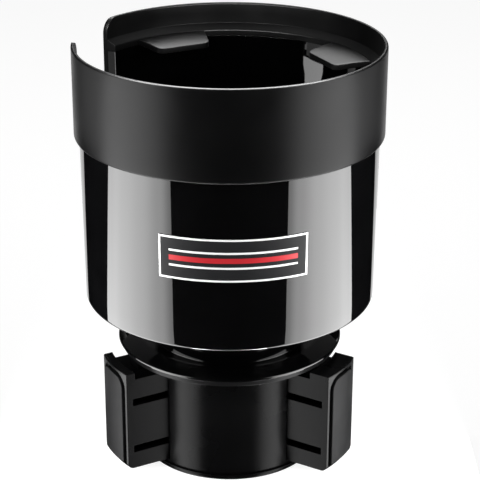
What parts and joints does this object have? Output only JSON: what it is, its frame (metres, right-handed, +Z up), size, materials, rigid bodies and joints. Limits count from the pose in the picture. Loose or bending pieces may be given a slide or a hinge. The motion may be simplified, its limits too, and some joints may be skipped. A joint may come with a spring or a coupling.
{
  "type": "cup holder adapter",
  "caption": "Wide drink cup with a soft finger collar and a handle slot on a turning neck, whose base spreads scroll-driven jaws to grip a car's cup holder.",
  "frame": {"origin": "middle of the base plate's underside", "axes": "+Z up along the turning axis, -Y towards the labelled front of the cup, +X to the right seen from the front"},
  "size_m": [0.1082, 0.1082, 0.1535],
  "materials": {
    "gloss_black": "polished moulded black plastic",
    "soft_black": "matte soft-touch moulding",
    "label_print": "printed strip, dark field with a pale frame",
    "rubber_black": "matte rubber mat",
    "matte_black": "fine matte moulded plastic",
    "satin_black": "satin moulded plastic",
    "rubber_grey": "dark grey matte rubber",
    "screw_steel": "zinc-plated steel"
  },
  "bodies": {
    "base": {"base_core": "satin_black", "base_plate": "satin_black", "base_screws": "screw_steel", "pivot_screw": "screw_steel", "pivot_washer": "screw_steel"},
    "cup": {"cup_body": "gloss_black", "grip_collar": "soft_black", "front_label": "label_print", "floor_mat": "rubber_black", "neck_flange": "gloss_black", "scroll_plate": "matte_black", "cup_screws": "screw_steel"},
    "arm_left": {"jaw_left": "satin_black", "pad_left": "rubber_grey"},
    "arm_right": {"jaw_right": "satin_black", "pad_right": "rubber_grey"},
    "arm_back": {"jaw_back": "satin_black", "pad_back": "rubber_grey"}
  },
  "joints": [
    {"name": "cup_turn", "type": "hinge", "parent": "base", "child": "cup", "pos_m": [0, 0, 0.05], "axis": [0, 0, 1], "range_deg": [-330, 0]},
    {"name": "jaw_left_slide", "type": "slide", "parent": "base", "child": "arm_left", "axis": [-0.866, -0.5, 0], "range_m": [-0.011, 0]},
    {"name": "jaw_right_slide", "type": "slide", "parent": "base", "child": "arm_right", "axis": [0.866, -0.5, 0], "range_m": [-0.011, 0]},
    {"name": "jaw_back_slide", "type": "slide", "parent": "base", "child": "arm_back", "axis": [0, 1, 0], "range_m": [-0.011, 0]}
  ],
  "couplings": [
    {"joint": "jaw_left_slide", "follows": "cup_turn", "m_per_rad": 0.0019098},
    {"joint": "jaw_right_slide", "follows": "cup_turn", "m_per_rad": 0.0019098},
    {"joint": "jaw_back_slide", "follows": "cup_turn", "m_per_rad": 0.0019098}
  ]
}
